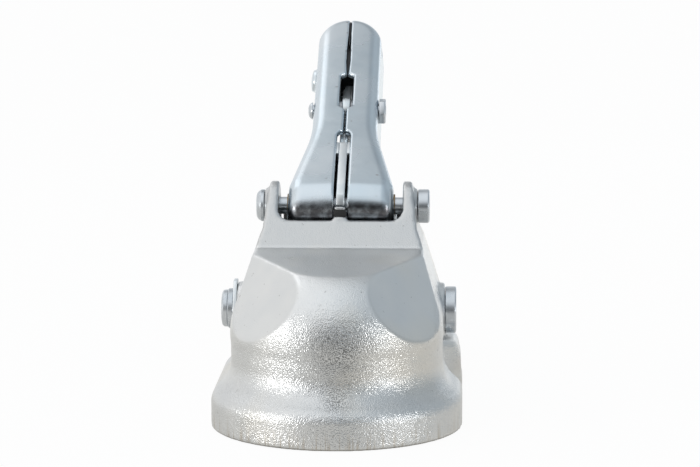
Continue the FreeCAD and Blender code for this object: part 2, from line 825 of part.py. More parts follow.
def trigger():
    """Finger lever: hub on the rivet, a tooth down into the bolt, a tail under the grip."""
    half = trigger_thick / 2
    s = trigger_s
    n = trigger_n
    deep = n - tooth_reach
    tail_floor = latch_tail_top + tail_rise
    t = trigger_reach
    heel = s + 0.22 * t
    tip = [(s + 0.96 * t, n - 0.31 * t), ((s + t, n - 0.377 * t), (s + 0.935 * t, n - 0.416 * t)),
           (s + 0.883 * t, n - 0.405 * t), ((s + 0.623 * t, n - 0.312 * t), (s + 0.312 * t, n - 0.338 * t)),
           (heel, n - 0.312 * t)]
    plate = fused(
        handle_disc(s, n, trigger_hub_r, -half, half),
        handle_prism([(s - tooth_neck / 2, n), (s - tooth_neck / 2, deep), (s + tooth_neck / 2, deep),
                      (s + tooth_neck / 2, n)], -half, half),
        handle_disc(s, deep, tooth_r, -half, half),
        handle_prism([(s, n + trigger_hub_r), (s + 0.364 * t, n + 0.026 * t),
                      (s + 0.675 * t, n - 0.156 * t)] + tip + [(heel, tail_floor), (s, tail_floor)],
                     -half, half),
    )
    pad = trigger_pad_width / 2
    finger = handle_prism(tip + [
        (heel, n - 0.249 * t), (s + 0.312 * t, n - 0.27 * t),
        ((s + 0.623 * t, n - 0.247 * t), (s + 0.883 * t, n - 0.327 * t)),
    ], -pad, pad)
    lever = fused(plate, finger)
    return lever.cut(handle_disc(s, n, rivet_d / 2 + fit, -10, 10))


def trigger_rivet():
    half = grip_width / 2
    return fused(
        handle_disc(trigger_s, trigger_n, rivet_d / 2, -half, half),
        handle_disc(trigger_s, trigger_n, rivet_head_r, half, half + rivet_head_height),
        handle_disc(trigger_s, trigger_n, rivet_tail_r, -half - rivet_tail_height, -half),
    )


def trigger_spacers():
    y, z = on_handle(trigger_s, trigger_n)
    r_in = rivet_d / 2 + fit
    spacer = tube(y, z, r_in + spacer_wall, r_in, trigger_thick / 2 + 0.2, grip_width / 2 - sheet - 0.1)
    return mirrored(spacer), spacer


def tail_rivet():
    half = grip_width / 2
    return handle_disc(tail_rivet_s, tail_rivet_n, tail_rivet_d / 2, -half, half)


def jaw_spring():
    spring = coil(jaw_spring_r, jaw_spring_wire, jaw_spring_turns, pocket_rear_y - jaw_seat_y - 0.1)
    spring.rotate(V(0, 0, 0), V(1, 0, 0), -90)
    spring.translate(V(0, jaw_seat_y + 0.05, jaw_spring_z))
    return spring


def latch_spring():
    n = trigger_n + 2
    end = trigger_s - math.sqrt(trigger_hub_r ** 2 - (n - trigger_n) ** 2) - 1.0
    start = latch_step_s + 0.1
    spring = coil(latch_spring_r - latch_spring_wire / 2, latch_spring_wire, latch_spring_turns, end - start)
    spring.rotate(V(0, 0, 0), V(1, 0, 0), -90 + handle_rise)
    y, z = on_handle(start, n)
    spring.translate(V(0, y, z))
    return spring


def all_parts():
    shell_left, shell_right = handle_shells()
    bolt, collar, bush_left, bush_right = pivot_parts()
    crank_pin, spacer_left, spacer_right = crank_parts()
    link_left, link_right = links()
    jaw_pin, cap, washer, indicator = jaw_pin_parts()
    trigger_left, trigger_right = trigger_spacers()
    return {
        "housing": housing(),
        "handle_shell_left": shell_left,
        "handle_shell_right": shell_right,
        "handle_pivot_bolt": bolt,
        "handle_pivot_collar": collar,
        "pivot_bush_left": bush_left,
        "pivot_bush_right": bush_right,
        "crank_pin": crank_pin,
        "link_spacer_left": spacer_left,
        "link_spacer_right": spacer_right,
        "pull_link_left": link_left,
        "pull_link_right": link_right,
        "ball_jaw": ball_jaw(),
        "jaw_pin": jaw_pin,
        "jaw_pin_cap": cap,
        "jaw_pin_washer": washer,
        "wear_indicator": indicator,
        "link_pin": link_pin(),
        "jaw_spring": jaw_spring(),
        "latch_bolt": latch_bolt(),
        "latch_guide": latch_guide(),
        "latch_buffer": latch_buffer(),
        "bolt_clip": bolt_clip(),
        "latch_spring": latch_spring(),
        "trigger": trigger(),
        "trigger_rivet": trigger_rivet(),
        "trigger_spacer_left": trigger_left,
        "trigger_spacer_right": trigger_right,
        "tail_rivet": tail_rivet(),
    }


os.makedirs("parts", exist_ok=True)
for name, shape in all_parts().items():
    print(name, "solids", len(shape.Solids), "valid", shape.isValid(), "volume", round(shape.Volume, 1))
    shape.exportStep(os.path.join("parts", name + ".step"))
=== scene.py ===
"""Looks of the trailer ball coupling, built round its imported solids.

Metres, in the frame of the solids: the tow ball's centre is the origin, +Z is up,
the nose points to -Y, and +X is the right side seen from the front.
"""
import math

import bmesh
import bpy
import numpy as np
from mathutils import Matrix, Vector


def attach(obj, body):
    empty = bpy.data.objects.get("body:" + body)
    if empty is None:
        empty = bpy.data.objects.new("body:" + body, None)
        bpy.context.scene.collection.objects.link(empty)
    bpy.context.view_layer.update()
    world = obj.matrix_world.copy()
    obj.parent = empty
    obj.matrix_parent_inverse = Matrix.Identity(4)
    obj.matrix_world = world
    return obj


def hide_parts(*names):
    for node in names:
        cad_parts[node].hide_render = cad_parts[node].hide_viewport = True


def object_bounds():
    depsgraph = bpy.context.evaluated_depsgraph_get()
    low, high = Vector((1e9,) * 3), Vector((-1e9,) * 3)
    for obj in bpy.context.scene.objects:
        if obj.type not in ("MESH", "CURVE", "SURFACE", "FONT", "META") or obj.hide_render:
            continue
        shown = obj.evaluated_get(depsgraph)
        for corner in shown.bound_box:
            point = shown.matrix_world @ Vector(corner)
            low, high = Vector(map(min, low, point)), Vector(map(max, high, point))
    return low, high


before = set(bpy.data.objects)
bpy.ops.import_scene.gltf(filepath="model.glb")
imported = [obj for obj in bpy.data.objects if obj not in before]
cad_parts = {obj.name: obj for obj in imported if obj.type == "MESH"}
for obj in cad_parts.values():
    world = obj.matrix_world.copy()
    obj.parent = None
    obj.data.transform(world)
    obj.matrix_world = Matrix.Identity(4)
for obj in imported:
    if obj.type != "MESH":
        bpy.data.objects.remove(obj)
cad_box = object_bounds()

# Camera: straight at the nose, a little above it and a touch to the right,
# with a long lens that fills the frame as a product photograph does.
camera_turn = math.radians(2.3)
camera_rise = math.radians(8.4)
camera_distance = 1.08
aim = Vector((0.0040, 0.0300, 0.0555))
towards_camera = Vector((
    math.sin(camera_turn) * math.cos(camera_rise),
    -math.cos(camera_turn) * math.cos(camera_rise),
    math.sin(camera_rise),
))
camera = bpy.data.objects.new("camera", bpy.data.cameras.new("camera"))
camera.data.sensor_width = 36
camera.data.lens = 138.3
camera.location = aim + camera_distance * towards_camera
camera.rotation_mode = "QUATERNION"
camera.rotation_quaternion = (-towards_camera).to_track_quat("-Z", "Y")
camera.data.dof.use_dof = False
bpy.context.scene.collection.objects.link(camera)
bpy.context.scene.camera = camera
bpy.context.scene.view_settings.view_transform = "Standard"


def add(mat, kind, values=(), **settings):
    """A node in the material, with its settings and its unlinked inputs."""
    node = mat.node_tree.nodes.new(kind)
    for key, value in settings.items():
        setattr(node, key, value)
    for key, value in dict(values).items():
        node.inputs[key].default_value = value
    return node


def join(mat, out, into):
    mat.node_tree.links.new(out, into)


def ramp(mat, factor, stops):
    """Colour ramp over a factor, from (place, grey or colour) stops, the outer two first."""
    node = add(mat, "ShaderNodeValToRGB")
    elements = node.color_ramp.elements
    for i, (place, tone) in enumerate(stops):
        element = elements[i] if i < 2 else elements.new(place)
        element.position = place
        element.color = (*tone, 1) if isinstance(tone, tuple) else (tone, tone, tone, 1)
    join(mat, factor, node.inputs["Fac"])
    return node.outputs["Color"]


# Studio: a white floor that the coupling stands on, and a soft white room that is
# brightest on the left, greyer on the right and dark round the camera, as the metal shows it.
floor_z = cad_box[0].z
floor_gap = 0.0002
floor_half = 6
floor_mesh = bpy.data.meshes.new("floor")
bm = bmesh.new()
bmesh.ops.create_grid(bm, x_segments=1, y_segments=1, size=floor_half)
bmesh.ops.translate(bm, verts=bm.verts, vec=(0, 0, floor_z - floor_gap))
bm.to_mesh(floor_mesh)
bm.free()
floor = bpy.data.objects.new("floor", floor_mesh)
bpy.context.scene.collection.objects.link(floor)

floor_white = bpy.data.materials.new("floor_white")
floor_white.use_nodes = True
floor_white.node_tree.nodes.clear()
rays = add(floor_white, "ShaderNodeLightPath")
seen = add(floor_white, "ShaderNodeMath", operation="MAXIMUM")
join(floor_white, rays.outputs["Is Camera Ray"], seen.inputs[0])
join(floor_white, rays.outputs["Is Glossy Ray"], seen.inputs[1])
share = add(floor_white, "ShaderNodeMath", {1: 0.95}, operation="MULTIPLY")
join(floor_white, seen.outputs[0], share.inputs[0])
lit = add(floor_white, "ShaderNodeBsdfDiffuse", {"Color": (0.90, 0.90, 0.90, 1)})
# Painted reflection: in the metal the floor glows graded by depth, dark in front and bright behind. To
# the camera it is plain white.
floor_glow = add(floor_white, "ShaderNodeMix", data_type="RGBA")
floor_glow_sides = [socket for socket in floor_glow.inputs if socket.type == "RGBA"]
floor_place = add(floor_white, "ShaderNodeTexCoord")
floor_axes = add(floor_white, "ShaderNodeSeparateXYZ")
join(floor_white, floor_place.outputs["Object"], floor_axes.inputs[0])
depth = add(floor_white, "ShaderNodeMapRange", {"From Min": -1.0, "From Max": 1.0})
join(floor_white, floor_axes.outputs["Y"], depth.inputs["Value"])
join(floor_white, ramp(floor_white, depth.outputs[0], [
    (0.10, (0.22, 0.22, 0.22)), (0.68, (1.05, 1.05, 1.03)), (0.32, (0.50, 0.50, 0.48)),
    (0.40, (0.68, 0.67, 0.64)), (0.56, (0.70, 0.69, 0.66))]), floor_glow_sides[0])
floor_glow_sides[1].default_value = (1, 1, 1, 1)
join(floor_white, rays.outputs["Is Camera Ray"], floor_glow.inputs[0])
plain = add(floor_white, "ShaderNodeEmission", {"Strength": 1.0})
floor_glow_tone = [socket for socket in floor_glow.outputs if socket.type == "RGBA"][0]
join(floor_white, floor_glow_tone, plain.inputs["Color"])
blend = add(floor_white, "ShaderNodeMixShader")
join(floor_white, share.outputs[0], blend.inputs["Fac"])
join(floor_white, lit.outputs[0], blend.inputs[1])
join(floor_white, plain.outputs[0], blend.inputs[2])
out = add(floor_white, "ShaderNodeOutputMaterial")
join(floor_white, blend.outputs[0], out.inputs["Surface"])
floor_mesh.materials.append(floor_white)

world = bpy.data.worlds.new("studio")
bpy.context.scene.world = world
world.use_nodes = True
world.node_tree.nodes.clear()
room = add(world, "ShaderNodeTexCoord")


def wall(direction, stops):
    """Tone over how far a ray turns towards a direction, from (cosine, tone) stops."""
    turn = add(world, "ShaderNodeVectorMath", {1: Vector(direction).normalized()},
               operation="DOT_PRODUCT")
    join(world, room.outputs["Generated"], turn.inputs[0])
    half = add(world, "ShaderNodeMapRange", {"From Min": -1.0, "From Max": 1.0})
    join(world, turn.outputs["Value"], half.inputs["Value"])
    return ramp(world, half.outputs[0], [((c + 1) / 2, tone) for c, tone in stops])


def times(tones):
    """Product of the tones."""
    product = tones[0]
    for tone in tones[1:]:
        node = add(world, "ShaderNodeMix", data_type="RGBA", blend_type="MULTIPLY")
        node.inputs[0].default_value = 1.0
        sides = [socket for socket in node.inputs if socket.type == "RGBA"]
        join(world, product, sides[0])
        join(world, tone, sides[1])
        product = [socket for socket in node.outputs if socket.type == "RGBA"][0]
    return product


room_tone = times([
    wall((1, 0, 0), [(-1.0, (0.93, 0.93, 0.92)), (1.0, (0.34, 0.38, 0.41)), (-0.40, (0.95, 0.96, 0.97)),
                     (0.0, (0.88, 0.91, 0.93)), (0.30, (0.55, 0.60, 0.64))]),
    wall((0, -1, -0.05), [(-1.0, 1.0), (1.0, 0.04), (0.62, 1.0), (0.80, 0.75), (0.92, 0.20)]),
    wall((0, 0.65, 0.76), [(-1.0, 1.0), (1.0, 0.52), (0.86, 1.0), (0.94, 0.75)]),
    wall((0, -0.55, 0.84), [(-1.0, 0.78), (1.0, 0.94), (0.45, 0.78), (0.80, 0.94)]),
    wall((0.80, 0.44, 0.42), [(-1.0, 0.80), (1.0, 1.0), (0.90, 0.80), (0.97, 0.97)]),
])
rays = add(world, "ShaderNodeLightPath")
white = add(world, "ShaderNodeBackground", {"Color": (1, 1, 1, 1), "Strength": 1.0})
soft = add(world, "ShaderNodeBackground", {"Strength": 1.56})
join(world, room_tone, soft.inputs["Color"])
seen = add(world, "ShaderNodeMixShader")
join(world, rays.outputs["Is Camera Ray"], seen.inputs["Fac"])
join(world, soft.outputs[0], seen.inputs[1])
join(world, white.outputs[0], seen.inputs[2])
out = add(world, "ShaderNodeOutputWorld")
join(world, seen.outputs[0], out.inputs["Surface"])


def softbox(name, place, size, watts, tint):
    """Area lamp that looks at the coupling's middle."""
    lamp = bpy.data.lights.new(name, "AREA")
    lamp.shape = "RECTANGLE"
    lamp.size = size[0]
    lamp.size_y = size[1]
    lamp.energy = watts
    lamp.color = tint
    obj = bpy.data.objects.new(name, lamp)
    obj.location = place
    obj.rotation_mode = "QUATERNION"
    obj.rotation_quaternion = (Vector(place) - aim).to_track_quat("Z", "Y")
    bpy.context.scene.collection.objects.link(obj)


softbox("left", (-0.86, -0.50, 0.13), (0.30, 0.18), 1.5, (1.0, 0.99, 0.97))
softbox("right", (0.84, -0.54, 0.14), (0.26, 0.18), 1.2, (1.0, 1.0, 1.0))
softbox("back_right", (0.43, 0.98, 0.14), (0.20, 0.26), 0.16, (1.0, 1.0, 1.0))
softbox("high_left", (-0.50, 0.50, 0.85), (0.45, 0.6), 0.45, (1.0, 1.0, 1.0))

# Housing: one iron casting, zinc plated, with the sandy skin of its mould.
# Its edges are soft, the two nose facets are smoother, the rim is scored, and the front
# of the raised skirt part on the right slants back.
MM = 0.001
facet_normal = Vector((0.685, -0.457, 0.567)).normalized()
facet_distance = 46.8 * MM
housing_voxel = 0.85 * MM
housing_passes = 3
facet_side = 37.6
skirt_start = 38.5
skirt_rear = 40
skirt_run = 13.5
skirt_heights = (-9, 14.5)
skirt_fade = 3
skirt_depth = 0.85


def loose_copy(node, name):
    """A copy of a node's mesh with its doubles merged, as an object of its own."""
    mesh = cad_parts[node].data.copy()
    mesh.materials.clear()
    bm = bmesh.new()
    bm.from_mesh(mesh)
    bmesh.ops.remove_doubles(bm, verts=bm.verts, dist=2e-6)
    bm.to_mesh(mesh)
    bm.free()
    obj = bpy.data.objects.new(name, mesh)
    bpy.context.scene.collection.objects.link(obj)
    return obj


def apply_modifiers(obj):
    bpy.context.view_layer.update()
    graph = bpy.context.evaluated_depsgraph_get()
    final = bpy.data.meshes.new_from_object(obj.evaluated_get(graph))
    obj.modifiers.clear()
    obj.data = final


def cast_copy(node, name, voxel, passes):
    """The node's shape with every edge softened, as a mould or a press leaves it."""
    obj = loose_copy(node, name)
    skin = obj.modifiers.new("skin", "REMESH")
    skin.mode = "VOXEL"
    skin.voxel_size = voxel
    skin.use_smooth_shade = True
    soften = obj.modifiers.new("soften", "SMOOTH")
    soften.factor = 0.5
    soften.iterations = passes
    apply_modifiers(obj)
    return obj


def dress(obj, body, node, finish):
    """Ties a piece to its body, its node and its finish."""
    obj.data.materials.clear()
    obj.data.materials.append(finish)
    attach(obj, body)
    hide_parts(node)


def metal(name, color, roughness):
    mat = bpy.data.materials.new(name)
    mat.use_nodes = True
    skin = mat.node_tree.nodes["Principled BSDF"]
    skin.inputs["Base Color"].default_value = (*color, 1)
    skin.inputs["Metallic"].default_value = 1.0
    skin.inputs["Roughness"].default_value = roughness
    coords = add(mat, "ShaderNodeTexCoord")
    return mat, skin, coords.outputs["Object"]


def noise(mat, coords, scale, detail=2.0, rough=0.5, stretch=None):
    """Noise at a scale per metre, stretched along an axis if asked."""
    if stretch:
        turned = add(mat, "ShaderNodeMapping", {"Scale": stretch})
        join(mat, coords, turned.inputs["Vector"])
        coords = turned.outputs["Vector"]
    node = add(mat, "ShaderNodeTexNoise", {"Scale": scale, "Detail": detail, "Roughness": rough})
    join(mat, coords, node.inputs["Vector"])
    return node.outputs["Fac"]


def math_node(mat, operation, a, b):
    node = add(mat, "ShaderNodeMath", operation=operation)
    for i, value in enumerate((a, b)):
        if isinstance(value, (int, float)):
            node.inputs[i].default_value = value
        else:
            join(mat, value, node.inputs[i])
    return node.outputs[0]


def mix_colors(mat, factor, a, b, how="MIX"):
    node = add(mat, "ShaderNodeMix", data_type="RGBA", blend_type=how)
    sockets = [s for s in node.inputs if s.type == "RGBA"]
    for socket, value in zip(sockets, (a, b)):
        if isinstance(value, tuple):
            socket.default_value = (*value, 1)
        else:
            join(mat, value, socket)
    if isinstance(factor, (int, float)):
        node.inputs[0].default_value = factor
    else:
        join(mat, factor, node.inputs[0])
    return [s for s in node.outputs if s.type == "RGBA"][0]


def bump(mat, skin, heights):
    """Chain of bumps from (height, strength, distance), the last one on the skin."""
    normal = None
    for height, strength, distance in heights:
        node = add(mat, "ShaderNodeBump", {"Distance": distance})
        if isinstance(strength, (int, float)):
            node.inputs["Strength"].default_value = strength
        else:
            join(mat, strength, node.inputs["Strength"])
        join(mat, height, node.inputs["Height"])
        if normal is not None:
            join(mat, normal, node.inputs["Normal"])
        normal = node.outputs["Normal"]
    join(mat, normal, skin.inputs["Normal"])


def span(mat, value, low, high):
    """0 at low and 1 at high, both in mm."""
    node = add(mat, "ShaderNodeMapRange", {"From Min": low * MM, "From Max": high * MM})
    join(mat, value, node.inputs["Value"])
    return node.outputs[0]


def facet_mask(mat, coords):
    """1 on the two flat nose facets, 0 elsewhere, from their planes."""
    fold = add(mat, "ShaderNodeVectorMath", operation="ABSOLUTE")
    join(mat, coords, fold.inputs[0])
    x_only = add(mat, "ShaderNodeSeparateXYZ")
    join(mat, fold.outputs[0], x_only.inputs[0])
    rest = add(mat, "ShaderNodeSeparateXYZ")
    join(mat, coords, rest.inputs[0])
    point = add(mat, "ShaderNodeCombineXYZ")
    join(mat, x_only.outputs["X"], point.inputs["X"])
    join(mat, rest.outputs["Y"], point.inputs["Y"])
    join(mat, rest.outputs["Z"], point.inputs["Z"])
    along = add(mat, "ShaderNodeVectorMath", {1: facet_normal}, operation="DOT_PRODUCT")
    join(mat, point.outputs[0], along.inputs[0])
    edge = add(mat, "ShaderNodeMapRange", {"From Min": facet_distance - 0.9 * MM,
                                           "From Max": facet_distance - 0.25 * MM})
    join(mat, along.outputs["Value"], edge.inputs["Value"])
    side = span(mat, x_only.outputs["X"], facet_side + 1, facet_side)
    return math_node(mat, "MULTIPLY", edge.outputs[0], side), rest.outputs["Z"]


def spot(mat, coords, centre, radius):
    """1 round a point in mm, fading to 0 at the radius."""
    gap = add(mat, "ShaderNodeVectorMath", {1: Vector(centre) * MM}, operation="DISTANCE")
    join(mat, coords, gap.inputs[0])
    return span(mat, gap.outputs["Value"], radius, radius * 0.25)


sandy_zinc, skin, at = metal("sandy_zinc", (0.72, 0.73, 0.73), 0.3)
smooth_part, height = facet_mask(sandy_zinc, at)
blotch = noise(sandy_zinc, at, 55, 3.0, 0.6)
cloud = noise(sandy_zinc, at, 21, 2.0, 0.5)
grain = noise(sandy_zinc, at, 2300, 0.0, 0.5)
hills = noise(sandy_zinc, at, 420, 2.0, 0.5)
specks = noise(sandy_zinc, at, 700, 1.0, 0.4)
scores = noise(sandy_zinc, at, 900, 3.0, 0.6, (1, 1, 0.06))
tone = ramp(sandy_zinc, blotch, [(0.25, (0.69, 0.705, 0.715)), (0.75, (0.76, 0.765, 0.76))])
warm = ramp(sandy_zinc, cloud, [(0.52, 0.0), (0.70, 0.55)])
tone = mix_colors(sandy_zinc, warm, tone, (0.78, 0.73, 0.64))
dark_specks = ramp(sandy_zinc, specks, [(0.74, 0.0), (0.79, 1.0)])
speck_share = math_node(sandy_zinc, "MULTIPLY", dark_specks, 0.4)
tone = mix_colors(sandy_zinc, speck_share, tone, (0.24, 0.23, 0.21))
band = span(sandy_zinc, height, -7.5, -14.5)
score_lines = ramp(sandy_zinc, scores, [(0.50, 0.0), (0.64, 0.75)])
scored = math_node(sandy_zinc, "MULTIPLY", band, score_lines)
tone = mix_colors(sandy_zinc, scored, tone, (0.50, 0.45, 0.38))
low_edge = span(sandy_zinc, height, -14.9, -15.8)
tone = mix_colors(sandy_zinc, low_edge, tone, (0.20, 0.19, 0.17))
# Painted shade: the housing's colour is made darker above 52 mm.
top_shade = ramp(sandy_zinc, span(sandy_zinc, height, 50.8, 52.2), [(0.0, 1.0), (1.0, 0.83)])
tone = mix_colors(sandy_zinc, 1.0, tone, top_shade, "MULTIPLY")
# Painted shade in the concave flare between the dome and the rim, darkest a little above the rim.
hollow_shade = ramp(sandy_zinc, span(sandy_zinc, height, -3.5, 7.5),
              [(0.0, 1.0), (1.0, 1.0), (0.30, 0.88), (0.62, 0.93)])
tone = mix_colors(sandy_zinc, 1.0, tone, hollow_shade, "MULTIPLY")
# Painted reflection: the grain is peppered near-black at the middle of the nose and at its foot,
# standing in for the dark camera side seen in the grain.
pepper = ramp(sandy_zinc, grain, [(0.40, 1.0), (0.53, 0.0)])
nose_middle = spot(sandy_zinc, at, (3, -42, 20.5), 15)
nose_foot = spot(sandy_zinc, at, (1.5, -44, 1), 8)
dark_reflection_spots = math_node(sandy_zinc, "MAXIMUM", nose_middle, nose_foot)
dark_reflection_spots = math_node(sandy_zinc, "MULTIPLY", dark_reflection_spots, 0.7)
tone = mix_colors(sandy_zinc, math_node(sandy_zinc, "MULTIPLY", dark_reflection_spots, pepper), tone, (0.10, 0.10, 0.10))
join(sandy_zinc, tone, skin.inputs["Base Color"])
join(sandy_zinc, ramp(sandy_zinc, blotch, [(0.3, 0.27), (0.7, 0.36)]), skin.inputs["Roughness"])
sandy = math_node(sandy_zinc, "SUBTRACT", 1.0, math_node(sandy_zinc, "MULTIPLY", smooth_part, 0.8))
low = add(sandy_zinc, "ShaderNodeMapRange", {"From Min": 46 * MM, "From Max": 31 * MM,
                                             "To Min": 0.6, "To Max": 1.0})
join(sandy_zinc, height, low.inputs["Value"])
sandy = math_node(sandy_zinc, "MULTIPLY", sandy, low.outputs[0])
bump(sandy_zinc, skin, [
    (hills, math_node(sandy_zinc, "MULTIPLY", sandy, 0.25), 0.5 * MM),
    (grain, math_node(sandy_zinc, "MULTIPLY", sandy, 0.8), 0.22 * MM),
])

housing = cast_copy("housing", "housing_casting", housing_voxel, housing_passes)
co = np.empty(3 * len(housing.data.vertices))
housing.data.vertices.foreach_get("co", co)
x, y, z = (co.reshape(-1, 3) / MM).T
ease = np.clip((skirt_rear - y) / skirt_run, 0, 1)
skirt = (np.clip((skirt_heights[1] - z) / skirt_fade, 0, 1)
         * np.clip((z - skirt_heights[0]) / skirt_fade, 0, 1) * (y > 20))
x = np.where(x > skirt_start, x - (x - skirt_start) * ease ** 1.5 * skirt * skirt_depth, x)
housing.data.vertices.foreach_set("co", (np.stack((x, y, z), axis=1) * MM).ravel())
housing.data.update()
dress(housing, "base", "housing", sandy_zinc)

# Handle: two half shells pressed from thick sheet and bright zinc plated. They meet at
# the seam on top, their walls flare a little downwards, their tops are slightly crowned,
# and the lips of the seam and of the two slots are rolled.
shell_voxel = 0.42 * MM
shell_passes = 3
handle_rise = math.radians(30)
pivot = (43, 65)
wall_flare = 1.0
wall_spread = 0.4
crown = 0.9
pad_place = (85, 1.5)
pad_reach = (6.0, 5.5)
pad_wall = 11.5
pad_push = 0.9
lip_width = 1.1
lip_drop = 1.05


def on_handle(s, n):
    """(y, z) in mm at s along the handle and n above its pivot line."""
    return (pivot[0] + s * math.cos(handle_rise) - n * math.sin(handle_rise),
            pivot[1] + s * math.sin(handle_rise) + n * math.cos(handle_rise))


def press_form(obj):
    """Flares the walls, crowns the top and rolls the lips of a handle shell."""
    mesh = obj.data
    co = np.empty(3 * len(mesh.vertices))
    mesh.vertices.foreach_get("co", co)
    x, y, z = (co.reshape(-1, 3) / MM).T
    s = (y - pivot[0]) * math.cos(handle_rise) + (z - pivot[1]) * math.sin(handle_rise)
    n = (z - pivot[1]) * math.cos(handle_rise) - (y - pivot[0]) * math.sin(handle_rise)
    half = np.interp(s, (3, 30, 38, 46), (21.8, 15.9, 14.6, 14.2))
    slot = np.interp(s, (33, 35.8, 36.1, 51.1, 53.5, 75.4, 77.2),
                     (2.85, 1.0, 0.25, 0.25, 2.85, 2.85, 0.25))
    slot = slot + np.interp(s, (77.2, 87, 97), (0, 0.4, 0))
    up = np.clip((n + 7) / 19, 0, 1)
    top = np.clip((n - 4) / 6, 0, 1)
    x_new = x * (1 + (wall_spread - (wall_flare + wall_spread) * up) / half)
    pad = np.clip(1 - ((s - pad_place[0]) / pad_reach[0]) ** 2
                  - ((n - pad_place[1]) / pad_reach[1]) ** 2, 0, 1)
    x_new = x_new - pad_push * pad * np.clip(-x - pad_wall, 0, 1)
    drop = crown * top * np.clip(np.abs(x) / half, 0, 1) ** 2
    lip = np.clip(1 - (np.abs(x) - slot) / lip_width, 0, 1) ** 2.5
    drop = drop + lip_drop * lip * np.clip((n - 9.9) / 1.5, 0, 1)
    n = n - drop
    y, z = on_handle(s, n)
    mesh.vertices.foreach_set("co", (np.stack((x_new, y, z), axis=1) * MM).ravel())
    mesh.update()


bright_zinc, skin, at = metal("bright_zinc", (0.62, 0.69, 0.74), 0.25)
waves = noise(bright_zinc, at, 90, 2.0, 0.5)
cloud = noise(bright_zinc, at, 34, 3.0, 0.6)
grain = noise(bright_zinc, at, 1500, 2.0, 0.5)
specks = noise(bright_zinc, at, 420, 1.0, 0.3)
tone = ramp(bright_zinc, cloud, [(0.3, (0.58, 0.66, 0.72)), (0.7, (0.69, 0.74, 0.78))])
marks = ramp(bright_zinc, specks, [(0.76, 0.0), (0.80, 1.0)])
tone = mix_colors(bright_zinc, math_node(bright_zinc, "MULTIPLY", marks, 0.5), tone, (0.30, 0.27, 0.24))
down = add(bright_zinc, "ShaderNodeVectorMath", {1: (0, math.cos(handle_rise), math.sin(handle_rise))},
           operation="DOT_PRODUCT")
join(bright_zinc, at, down.inputs[0])
along = (pivot[0] * math.cos(handle_rise) + pivot[1] * math.sin(handle_rise)) * MM
# Painted shade: the lower part of the handle's nose is darkened and mottled, standing in for the dark
# it reflects from the gap below.
nose = add(bright_zinc, "ShaderNodeMapRange", {"From Min": along - 7.5 * MM,
                                               "From Max": along - 9.5 * MM})
join(bright_zinc, down.outputs["Value"], nose.inputs["Value"])
nose_shade_mottle = ramp(bright_zinc, noise(bright_zinc, at, 260, 3.0, 0.7), [(0.30, 0.35), (0.58, 1.0)])
nose_shade = math_node(bright_zinc, "MULTIPLY", nose.outputs[0], nose_shade_mottle)
tone = mix_colors(bright_zinc, nose_shade, tone, (0.16, 0.16, 0.17))
join(bright_zinc, tone, skin.inputs["Base Color"])
join(bright_zinc, ramp(bright_zinc, cloud, [(0.3, 0.21), (0.7, 0.31)]), skin.inputs["Roughness"])
bump(bright_zinc, skin, [(waves, 0.12, 1.0 * MM), (grain, 0.12, 0.2 * MM)])

for side in ("left", "right"):
    shell = cast_copy("handle_shell_" + side, "handle_half_" + side, shell_voxel, shell_passes)
    press_form(shell)
    dress(shell, "handle", "handle_shell_" + side, bright_zinc)

# Pins and rivets: turned from bar, zinc plated, with chamfered heads.
# Each is a profile of places along X and radii, spun round its own axis. The grip rivet
# ends in a hexagon on the right.
turn_steps = 72

pin_zinc, skin, at = metal("pin_zinc", (0.62, 0.66, 0.69), 0.3)
cloud = noise(pin_zinc, at, 130, 2.0, 0.5)
rings = noise(pin_zinc, at, 2.2, 2.0, 0.6, (1600, 60, 60))
join(pin_zinc, ramp(pin_zinc, cloud, [(0.3, (0.52, 0.56, 0.60)), (0.7, (0.70, 0.73, 0.76))]),
     skin.inputs["Base Color"])
join(pin_zinc, ramp(pin_zinc, cloud, [(0.3, 0.24), (0.7, 0.38)]), skin.inputs["Roughness"])
bump(pin_zinc, skin, [(rings, 0.15, 0.1 * MM), (cloud, 0.15, 0.4 * MM)])


def turned_piece(name, profile, centre):
    """Profile of (x, radius) in mm, spun round the X axis through (y, z) in mm."""
    bm = bmesh.new()
    points = [bm.verts.new((x * MM, 0, r * MM)) for x, r in profile]
    for a, b in zip(points, points[1:]):
        bm.edges.new((a, b))
    bmesh.ops.spin(bm, geom=bm.verts[:] + bm.edges[:], cent=(0, 0, 0), axis=(1, 0, 0),
                   angle=math.tau, steps=turn_steps, use_merge=True)
    bmesh.ops.remove_doubles(bm, verts=bm.verts, dist=1e-6)
    bmesh.ops.recalc_face_normals(bm, faces=bm.faces)
    bmesh.ops.translate(bm, verts=bm.verts, vec=(0, centre[0] * MM, centre[1] * MM))
    mesh = bpy.data.meshes.new(name)
    bm.to_mesh(mesh)
    bm.free()
    mesh.shade_smooth()
    mesh.set_sharp_from_angle(angle=math.radians(28))
    obj = bpy.data.objects.new(name, mesh)
    bpy.context.scene.collection.objects.link(obj)
    return obj


pivot_bolt = turned_piece("pivot_bolt", [
    (-34.35, 0), (-34.35, 3.0), (-33.9, 3.5), (31.15, 3.5), (31.15, 6.5), (31.4, 6.8),
    (35.1, 6.85), (35.6, 6.5), (35.85, 5.9), (35.85, 0),
], pivot)
dress(pivot_bolt, "base", "handle_pivot_bolt", pin_zinc)
pivot_collar = turned_piece("pivot_collar", [
    (-31.15, 3.5), (-31.15, 6.3), (-31.35, 6.5), (-32.4, 6.45), (-33.6, 5.7), (-34.2, 4.9),
    (-34.35, 4.3), (-34.35, 3.5), (-31.15, 3.5),
], pivot)
dress(pivot_collar, "base", "handle_pivot_collar", pin_zinc)

